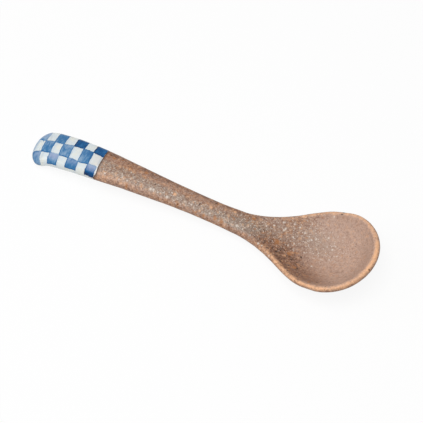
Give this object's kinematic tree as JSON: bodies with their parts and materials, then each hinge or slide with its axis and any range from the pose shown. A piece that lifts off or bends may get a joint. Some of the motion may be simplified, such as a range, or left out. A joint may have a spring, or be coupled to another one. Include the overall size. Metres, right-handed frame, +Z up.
{
  "type": "ceramic spoon",
  "caption": "Brown speckled stoneware spoon with a shallow oval bowl; the end of its handle is glazed white and painted with a cobalt chequer.",
  "frame": {"origin": "middle of the spoon's length and width, on the table it lies on", "axes": "+X along the spoon from the handle's end to the bowl's end, +Z up out of the bowl, +Y to the left when looking along +X"},
  "size_m": [0.145, 0.0376, 0.0147],
  "materials": {
    "bare_stoneware": "matte, unglazed, rubbed flat",
    "brown_iron_glaze": "satin, speckled",
    "white_glaze": "gloss",
    "cobalt_underglaze": "gloss, brushed by hand"
  },
  "bodies": {
    "root": {"stoneware_body": "bare_stoneware", "brown_glaze": "brown_iron_glaze", "white_glaze": "white_glaze", "cobalt_course_1": "cobalt_underglaze", "cobalt_course_2": "cobalt_underglaze", "cobalt_course_3": "cobalt_underglaze", "cobalt_course_4": "cobalt_underglaze", "cobalt_course_5": "cobalt_underglaze", "cobalt_course_6": "cobalt_underglaze", "cobalt_course_7": "cobalt_underglaze"}
  },
  "joints": []
}
